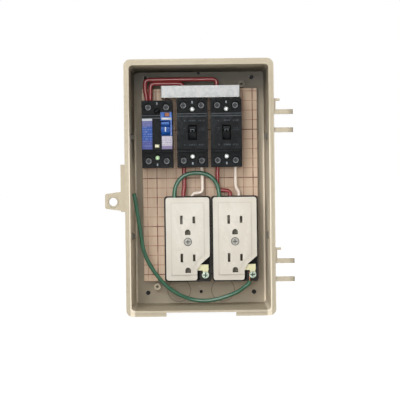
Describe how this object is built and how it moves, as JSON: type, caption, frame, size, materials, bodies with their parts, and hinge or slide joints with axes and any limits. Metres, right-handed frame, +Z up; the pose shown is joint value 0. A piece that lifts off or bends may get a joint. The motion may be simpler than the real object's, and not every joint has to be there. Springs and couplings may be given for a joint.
{
  "type": "breaker and receptacle box",
  "caption": "Open-front plastic wall box with breakers over grounded receptacles on a grid-printed board, wired together.",
  "frame": {"origin": "centre of the enclosure's rear face, where it meets the wall", "axes": "+X to the right seen from the front, +Y out of the rear face into the wall, +Z up"},
  "size_m": [0.1892, 0.095, 0.2576],
  "materials": {
    "beige_plastic": "moulded, light texture",
    "plywood": "planed, printed grid",
    "black_plastic": "fine moulded grain",
    "inner_plastic": "moulded",
    "ivory_plastic": "satin",
    "white_plastic": "satin",
    "blue_plastic": "satin",
    "orange_plastic": "satin",
    "cream_plastic": "satin",
    "plated_steel": "zinc plated",
    "brass": "stamped strip",
    "copper": "bare copper strip",
    "chromated_steel": "yellow chromate",
    "ferrite": "wound core, taped",
    "red_vinyl": "extruded vinyl",
    "white_vinyl": "extruded vinyl",
    "green_vinyl": "extruded vinyl"
  },
  "bodies": {
    "box": {"enclosure_body": "beige_plastic", "mounting_board": "plywood", "board_screw_1": "plated_steel", "board_screw_2": "plated_steel", "board_screw_3": "plated_steel", "board_screw_4": "plated_steel", "leakage_breaker_base": "black_plastic", "leakage_breaker_cover": "black_plastic", "leakage_breaker_upper_left_terminal": "plated_steel", "leakage_breaker_upper_right_terminal": "plated_steel", "leakage_breaker_lower_left_terminal": "plated_steel", "leakage_breaker_lower_right_terminal": "plated_steel", "branch_breaker_a_base": "black_plastic", "branch_breaker_a_cover": "black_plastic", "branch_breaker_a_upper_left_terminal": "plated_steel", "branch_breaker_a_upper_right_terminal": "plated_steel", "branch_breaker_a_lower_left_terminal": "plated_steel", "branch_breaker_a_lower_right_terminal": "plated_steel", "branch_breaker_b_base": "black_plastic", "branch_breaker_b_cover": "black_plastic", "branch_breaker_b_upper_left_terminal": "plated_steel", "branch_breaker_b_upper_right_terminal": "plated_steel", "branch_breaker_b_lower_left_terminal": "plated_steel", "branch_breaker_b_lower_right_terminal": "plated_steel", "current_transformer": "ferrite", "branch_breaker_a_bimetal": "copper", "branch_breaker_b_bimetal": "copper", "crossover_bar": "copper", "crossover_cover": "white_plastic", "outlet_a_base": "black_plastic", "outlet_a_cover": "ivory_plastic", "outlet_a_cover_screw": "plated_steel", "outlet_a_live_contact": "brass", "outlet_a_neutral_contact": "brass", "outlet_a_earth_contact": "chromated_steel", "outlet_a_earth_screw": "chromated_steel", "outlet_b_base": "black_plastic", "outlet_b_cover": "ivory_plastic", "outlet_b_cover_screw": "plated_steel", "outlet_b_live_contact": "brass", "outlet_b_neutral_contact": "brass", "outlet_b_earth_contact": "chromated_steel", "outlet_b_earth_screw": "chromated_steel", "feed_wire_a": "red_vinyl", "feed_wire_b": "red_vinyl", "live_wire_a": "red_vinyl", "live_wire_b": "red_vinyl", "neutral_wire_a": "white_vinyl", "neutral_wire_b": "white_vinyl", "earth_jumper": "green_vinyl", "earth_lead": "green_vinyl"},
    "leakage_breaker_handle": {"leakage_breaker_handle": "blue_plastic"},
    "leakage_breaker_contacts": {"leakage_breaker_contact_arm": "inner_plastic"},
    "branch_breaker_a_handle": {"branch_breaker_a_handle": "black_plastic"},
    "branch_breaker_a_contacts": {"branch_breaker_a_contact_arm": "inner_plastic"},
    "branch_breaker_b_handle": {"branch_breaker_b_handle": "black_plastic"},
    "branch_breaker_b_contacts": {"branch_breaker_b_contact_arm": "inner_plastic"},
    "test_button": {"test_button": "orange_plastic"},
    "trip_indicator": {"trip_indicator": "cream_plastic"}
  },
  "joints": [
    {"name": "leakage_breaker_toggle", "type": "hinge", "parent": "box", "child": "leakage_breaker_handle", "pos_m": [-0.0342, -0.0523, 0.0608], "axis": [1, 0, 0], "range_deg": [0, 36]},
    {"name": "leakage_breaker_contact_swing", "type": "hinge", "parent": "box", "child": "leakage_breaker_contacts", "pos_m": [-0.0428, -0.0329, 0.0579], "axis": [1, 0, 0], "range_deg": [0, 14.4]},
    {"name": "branch_breaker_a_toggle", "type": "hinge", "parent": "box", "child": "branch_breaker_a_handle", "pos_m": [-0.0069, -0.0523, 0.0558], "axis": [1, 0, 0], "range_deg": [0, 36]},
    {"name": "branch_breaker_a_contact_swing", "type": "hinge", "parent": "box", "child": "branch_breaker_a_contacts", "pos_m": [-0.0069, -0.0329, 0.0588], "axis": [1, 0, 0], "range_deg": [0, 14.4]},
    {"name": "branch_breaker_b_toggle", "type": "hinge", "parent": "box", "child": "branch_breaker_b_handle", "pos_m": [0.0278, -0.0523, 0.0558], "axis": [1, 0, 0], "range_deg": [0, 36]},
    {"name": "branch_breaker_b_contact_swing", "type": "hinge", "parent": "box", "child": "branch_breaker_b_contacts", "pos_m": [0.0278, -0.0329, 0.0588], "axis": [1, 0, 0], "range_deg": [0, 14.4]},
    {"name": "test_button_press", "type": "slide", "parent": "box", "child": "test_button", "axis": [0, 1, 0], "range_m": [0, 0.0015], "stiffness_N_per_m": 300, "springref_m": -0.0005},
    {"name": "trip_indicator_pop", "type": "slide", "parent": "box", "child": "trip_indicator", "axis": [0, -1, 0], "range_m": [0, 0.0015]}
  ],
  "couplings": [
    {"joint": "leakage_breaker_contact_swing", "follows": "leakage_breaker_toggle", "ratio": 0.4},
    {"joint": "branch_breaker_a_contact_swing", "follows": "branch_breaker_a_toggle", "ratio": 0.4},
    {"joint": "branch_breaker_b_contact_swing", "follows": "branch_breaker_b_toggle", "ratio": 0.4}
  ]
}
